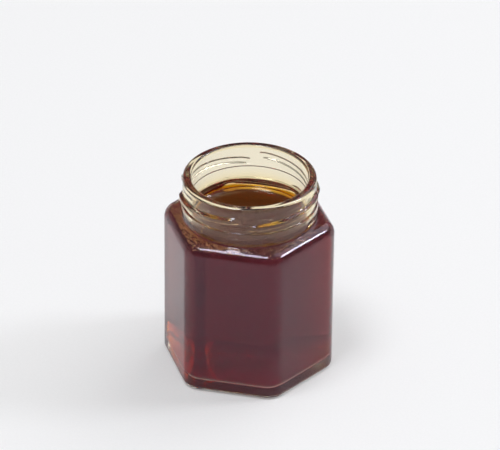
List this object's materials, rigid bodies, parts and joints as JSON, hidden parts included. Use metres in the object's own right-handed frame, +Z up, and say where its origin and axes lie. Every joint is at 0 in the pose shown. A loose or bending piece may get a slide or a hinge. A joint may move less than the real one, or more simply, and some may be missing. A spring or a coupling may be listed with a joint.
{
  "type": "honey jar",
  "caption": "Six-sided glass jar with a round threaded neck, filled with dark honey up to the bottom of the neck, with no lid.",
  "frame": {"origin": "on the surface the jar stands on, under the middle of its base", "axes": "+Z up along the neck's axis, with two of the six flat sides facing -Y and +Y and two upright edges towards -X and +X"},
  "size_m": [0.077, 0.069, 0.094],
  "materials": {
    "glass": "clear moulded soda-lime glass with soft waves",
    "honey": "clear dark amber liquid with a glossy surface"
  },
  "bodies": {
    "root": {"jar": "glass", "honey": "honey"}
  },
  "joints": []
}
